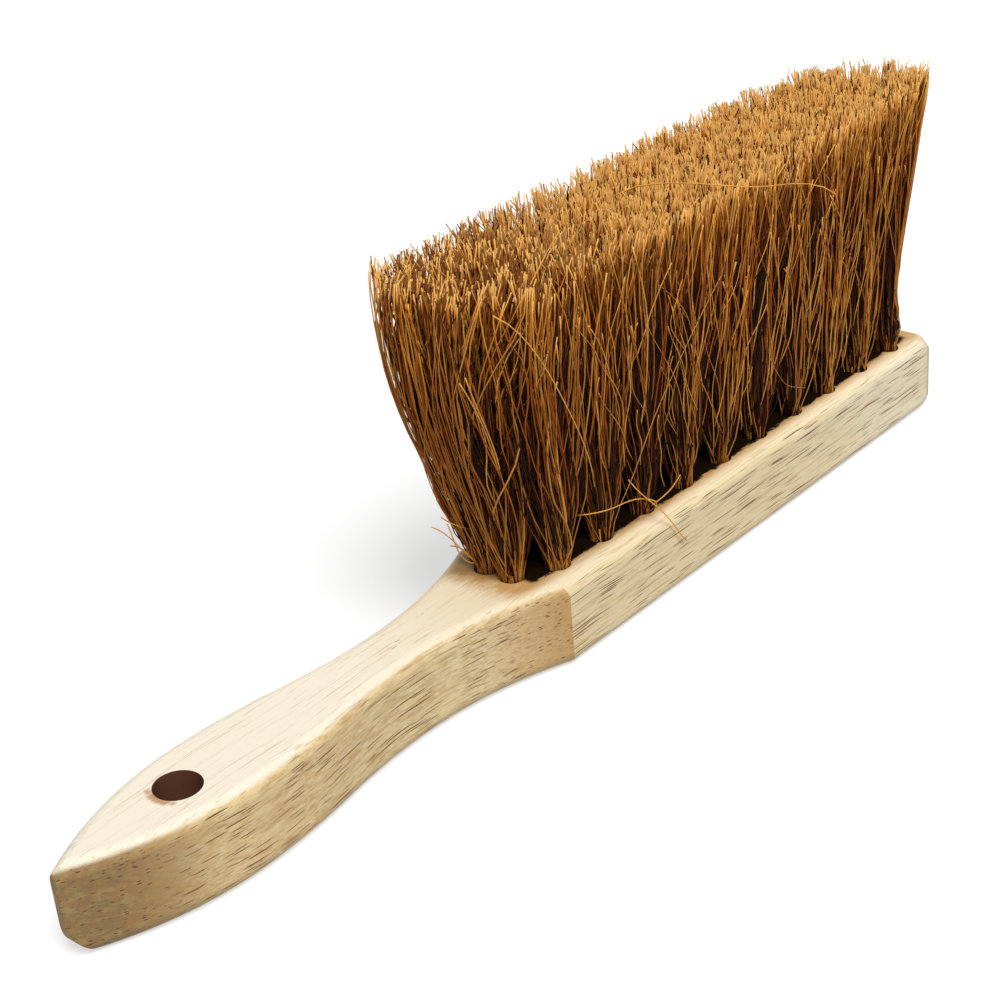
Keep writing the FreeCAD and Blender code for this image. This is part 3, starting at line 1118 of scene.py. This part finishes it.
@dataclass
class LooseFibres:
    """Fibres that have worked loose and lie across the block: some placed one by one, and fine hairs.

    Attributes:
        placed_mm: Points along each placed fibre, in millimetres.
        hairs: Number of fine hairs, spread over the four sides of the block.
        hair_spread: How thin and how thick a hair is, as a share of hair_thickness.
        end_span: Part of an end of the block that hairs start from.
        side_span: Part of a long side that they start from.
        clear: Height that they keep from the wood's face and from the tips.
        lean: Spread of the angle at which they lean, in radians.
        lift: How far a hair leaves the outline, in half waves that lift_waves counts.
    """

    placed_mm: tuple[tuple[Point, ...], ...] = (
        ((-34.9, -17.4, 88.2), (-24.3, -17.9, 76.8), (-17.4, -17.6, 65.3), (-9.1, -16.4, 49.4),
         (-4.7, -14.6, 38.0)),
        ((-44.8, -16.4, 78.1), (-43.2, -16.6, 75.0), (-39.9, -16.2, 68.7), (-34.1, -14.6, 54.9)),
        ((-43.2, -16.6, 78.6), (-42.3, -16.8, 75.3), (-39.5, -16.4, 68.7), (-33.8, -14.8, 54.9)),
        ((-10.8, -15.0, 96.8), (-13.8, -15.0, 94.7), (-16.4, -15.2, 93.0), (-24.1, -15.6, 87.0)),
        ((25.8, 0.4, 89.5), (33.5, -6.4, 91.2), (38.3, -18.5, 91.0), (60.5, -18.8, 84.5),
         (74.6, -18.8, 79.6), (84.3, -18.8, 74.2), (86.1, -17.8, 70.8)),
        ((-6.7, -10.5, 30.9), (-3.7, -14.0, 31.3), (1.8, -14.8, 30.1), (5.6, -14.4, 29.9),
         (10.0, -14.2, 28.1), (15.0, -14.4, 25.9), (16.6, -14.8, 24.6), (16.4, -12.6, 22.0)),
        ((10.4, -11.8, 32.2), (12.3, -14.6, 27.9), (16.1, -16.0, 23.2), (20.2, -16.4, 17.6),
         (24.4, -16.3, 12.0)),
        ((29.3, -11.8, 25.1), (21.2, -14.2, 25.0), (17.0, -14.8, 25.1), (16.5, -13.0, 23.4)),
        ((-34.8, 4.6, 36.9), (-30.2, 4.0, 32.3), (-27.3, 3.6, 28.2), (-23.3, 3.4, 23.4)),
        ((-31.6, 4.6, 37.7), (-29.7, 4.0, 35.7), (-26.3, 2.8, 33.2), (-22.6, 1.5, 31.2)),
        ((-29.8, 4.6, 30.1), (-26.6, 4.0, 27.8), (-24.0, 3.6, 24.2), (-21.6, 3.2, 20.8)),
        ((-31.1, 3.5, 36.2), (-30.2, 3.3, 33.0), (-29.1, 3.3, 29.4), (-23.7, 3.3, 23.4)),
    )
    placed_degree: int = 5
    placed_thickness: float = 0.32 * MM
    placed_paleness: float = 0.7
    hairs: int = 170
    hair_thickness: float = 0.2 * MM
    hair_spread: Pair = (0.6, 1.4)
    hair_paleness: float = 0.5
    hair_length: Pair = (14.0 * MM, 40.0 * MM)
    end_span: Pair = (0.35, 0.65)
    side_span: Pair = (0.14, 0.86)
    clear: float = 3.0 * MM
    lean: float = 0.28
    lift: float = 0.4 * MM
    lift_waves: int = 3
    bow: float = 2.2 * MM
    rings: int = 14
    seed: int = 7

    def placed(self) -> Fibres:
        """Draws a smooth curve near the points of each placed fibre.

        Each coordinate is the polynomial in the share of the fibre's length that fits the points best.

        Returns:
            The placed fibres.
        """
        share = np.linspace(0, 1, self.rings)
        curves = []
        for points in self.placed_mm:
            corners = np.array(points) * MM
            steps = np.linalg.norm(np.diff(corners, axis=0), axis=1)
            reach = np.concatenate(([0], np.cumsum(steps))) / steps.sum()
            terms = polynomial.polyfit(reach, corners, min(len(points) - 1, self.placed_degree))
            curves.append(polynomial.polyval(share, terms).T)
        paths = np.array(curves)
        radii = self.placed_thickness / 2 * np.ones(paths.shape[:2])
        return Fibres(paths, radii, self.looks(len(paths), self.placed_paleness))

    def strewn(self, outline: Outline) -> Fibres:
        """Lays the hairs on the sides of the block, leaning either way, a little in and out of it.

        A hair is a straight line on its side, bowed by half a sine wave. Its place along the side is a
        share of the side's length at its height, and a slow wave lifts it off the outline and back.

        Args:
            outline: Outline of the block.

        Returns:
            The hairs.
        """
        draw = np.random.default_rng(self.seed)
        count = self.hairs
        bottom, top = outline.heights[0], outline.heights[-1]
        size = outline.high[-1] - outline.low[-1]
        on_end = draw.random(count) < size[1] / size.sum()
        outward = np.where(draw.random(count) < 0.5, -1, 1)
        share = np.linspace(-0.5, 0.5, self.rings)[None]
        length = draw.uniform(*self.hair_length, count)[:, None]
        angle = draw.normal(0, self.lean, count)[:, None]
        bend = draw.normal(0, self.bow, count)[:, None] * np.cos(math.pi * share)
        side = np.where(on_end, size[1], size[0])[:, None]
        middle = draw.uniform(*self.end_span, count)
        middle = np.where(on_end, middle, draw.uniform(*self.side_span, count))[:, None] * side
        along = middle + share * length * np.sin(angle) + bend * np.cos(angle)
        ends = length * np.cos(angle) / 2 + self.clear
        height = bottom + ends + draw.random((count, 1)) * (top - bottom - 2 * ends)
        height = height + share * length * np.cos(angle) - bend * np.sin(angle)
        low, high = outline.at(height)
        lift = self.lift * np.sin(math.pi * (share * self.lift_waves + draw.random(count)[:, None] * 2))
        edge = np.where(outward[:, None, None] < 0, low - lift[:, :, None], high + lift[:, :, None])
        inner = low + (high - low) * np.clip(along / side, 0, 1)[:, :, None]
        level = np.where(
            on_end[:, None, None],
            np.stack([edge[:, :, 0], inner[:, :, 1]], axis=2),
            np.stack([inner[:, :, 0], edge[:, :, 1]], axis=2),
        )
        paths = np.concatenate([level, height[:, :, None]], axis=2)
        radius = self.hair_thickness / 2 * draw.uniform(*self.hair_spread, (count, 1))
        radii = radius * np.ones((1, self.rings))
        return Fibres(paths, radii, self.looks(count, self.hair_paleness))

    def looks(self, count: int, pale: float) -> dict[str, np.ndarray]:
        """Colour values of loose fibres, which stay as light as a tip over their whole length.

        Args:
            count: Number of fibres.
            pale: How pale they are.

        Returns:
            The values by name.
        """
        values = {"height": 0.95, "reach": 0.5, "darkness": 0.0, "paleness": pale, "redness": 0.2}
        return {name: np.full((count, self.rings), value) for name, value in values.items()}

    def build(self, outline: Outline, material: bpy.types.Material) -> None:
        """Makes one piece of the placed fibres and one of the hairs.

        Args:
            outline: Outline of the block.
            material: Material of the fibres.
        """
        for name, fibres in (("loose_fibres", self.placed()), ("loose_hairs", self.strewn(outline))):
            piece = fibres.piece(name)
            piece.data.materials.append(material)
            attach(piece, "root")
            LOG.info("%s: %d fibres", name, len(fibres.paths))


@dataclass
class Stock:
    """Head and handle with the anchors inside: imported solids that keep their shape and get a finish."""

    wood: SandedRubberwood
    wire: GalvanisedWire

    def dress(self, nodes: dict[str, bpy.types.Object], record: dict[str, Any]) -> None:
        """Gives each solid the material of its slot.

        Args:
            nodes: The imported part's nodes.
            record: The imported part's record, which has their slots and says where the hang hole is.
        """
        hang_hole = next(mount for mount in record["mounts"] if mount["name"] == "hang_hole")
        anchors = [name for name in nodes if name.startswith("anchors_")]
        boxes = np.array([[list(corner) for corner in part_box(name)] for name in anchors])
        low = Vector(boxes[:, 0].min(0))
        high = Vector(boxes[:, 1].max(0))
        high.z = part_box("stock_and_handle")[1].z
        finishes = {Slot.WOOD: self.wood.material(hang_hole, low, high), Slot.WIRE: self.wire.material()}
        for subpart in record["subparts"]:
            material = finishes.get(Slot(subpart["material_slot"]))
            if material is not None:
                node = nodes[subpart["node"]]
                node.data.materials.clear()
                node.data.materials.append(material)
                LOG.info("%s: %s", node.name, material.name)


@dataclass
class Studio:
    """Camera at the photograph's angle, pale floor and soft light from above and in front.

    Angles are in degrees, and strengths are Blender's.
    """

    camera_place_mm: Point = (-297.60, -253.20, 233.44)
    camera_azimuth: float = -47.674
    camera_elevation: float = 27.374
    camera_roll: float = -5.048
    focal_pixels: float = 2036.27
    picture_pixels: float = 990.0
    sensor_mm: float = 36.0
    nearest: float = 10.0 * MM
    floor_side: float = 12.0
    floor_paper: str = "#B4B4B4"
    floor_glow: float = 0.6
    white: str = "#FFFFFF"
    sky: float = 0.24
    sky_seen: float = 1.0
    key_from: Point = (-0.25, -0.45, 0.86)
    key_width: float = 25.0
    key_strength: float = 2.9

    def camera(self) -> None:
        """Sets the camera, turned by azimuth and elevation and then rolled about its own axis."""
        turn = math.radians(self.camera_azimuth)
        tilt = math.radians(self.camera_elevation)
        roll = math.radians(self.camera_roll)
        back = Vector((math.sin(turn) * math.cos(tilt), -math.cos(turn) * math.cos(tilt), math.sin(tilt)))
        level = Vector((0, 0, 1)).cross(back).normalized()
        upright = back.cross(level)
        right = math.cos(roll) * level + math.sin(roll) * upright
        up = math.cos(roll) * upright - math.sin(roll) * level
        data = bpy.data.cameras.new("camera")
        data.sensor_width = self.sensor_mm
        data.lens = self.focal_pixels / self.picture_pixels * self.sensor_mm
        data.clip_start = self.nearest
        view = bpy.data.objects.new("camera", data)
        turned = Matrix((right, up, back)).transposed().to_4x4()
        view.matrix_world = Matrix.Translation(Vector(self.camera_place_mm) * MM) @ turned
        bpy.context.scene.collection.objects.link(view)
        bpy.context.scene.camera = view

    def floor(self) -> None:
        """Lays a white floor under the broom, which keeps its shadow."""
        half = self.floor_side / 2
        corners = np.array([[-half, -half, 0], [half, -half, 0], [half, half, 0], [-half, half, 0]])
        floor = new_piece("floor", corners, [np.array([[0, 1, 2, 3]])])
        made, tree = new_material("floor_paper")
        paper = add_node(tree, "BsdfDiffuse", {"Color": linear(self.floor_paper)})
        strength = self.seen_only(tree, 0.0, self.floor_glow)
        glow = add_node(tree, "Emission", {"Color": linear(self.white), "Strength": strength})
        both = add_node(tree, "AddShader", {0: paper, 1: glow})
        add_node(tree, "OutputMaterial", {"Surface": both})
        floor.data.materials.append(made)

    @staticmethod
    def seen_only(tree: bpy.types.NodeTree, unseen: float, seen: float) -> bpy.types.Node:
        """One strength for light that falls on things, another for what the eye or a reflection sees.

        Args:
            tree: Node tree to add it to.
            unseen: Strength for diffuse light.
            seen: Strength for camera, glossy and transmission rays.

        Returns:
            The strength.
        """
        rays = add_node(tree, "LightPath").outputs
        direct: Any = rays["Is Camera Ray"]
        for name in ("Is Glossy Ray", "Is Transmission Ray"):
            direct = add_node(tree, "Math", {0: direct, 1: rays[name]}, operation="MAXIMUM")
        return add_node(tree, "MapRange", {0: direct, 1: 0.0, 2: 1.0, 3: unseen, 4: seen})

    def light(self) -> None:
        """Lights the broom with a white sky and one wide, far lamp above its front."""
        world = bpy.data.worlds.new("studio")
        world.use_nodes = True
        tree = world.node_tree
        tree.nodes.clear()
        strength = self.seen_only(tree, self.sky, self.sky_seen)
        sky = add_node(tree, "Background", {"Color": linear(self.white), "Strength": strength})
        add_node(tree, "OutputWorld", {"Surface": sky})
        bpy.context.scene.world = world
        data = bpy.data.lights.new("key", "SUN")
        data.angle = math.radians(self.key_width)
        data.energy = self.key_strength
        lamp = bpy.data.objects.new("key", data)
        lamp.rotation_mode = "QUATERNION"
        lamp.rotation_quaternion = (-Vector(self.key_from)).to_track_quat("-Z", "Y")
        bpy.context.scene.collection.objects.link(lamp)


def main() -> None:
    """Builds the broom's looks and its studio."""
    logging.basicConfig(level=logging.INFO, format="%(name)s %(message)s")
    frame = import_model()
    nodes = frame["nodes"]
    bpy.context.scene.view_settings.view_transform = "Standard"
    studio = Studio()
    studio.camera()
    studio.floor()
    studio.light()
    Stock(SandedRubberwood(), GalvanisedWire()).dress(nodes, frame["record"])
    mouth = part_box("stock_and_handle")[1].z
    tufts = sorted(name for name in nodes if name.startswith("tuft_"))
    outline = Outline.read([nodes[name] for name in tufts], mouth)
    coir = CoirFibre().material()
    BristleBlock().build(nodes, tufts, mouth, outline, coir)
    LooseFibres().build(outline, coir)


if __name__ == "__main__":
    main()
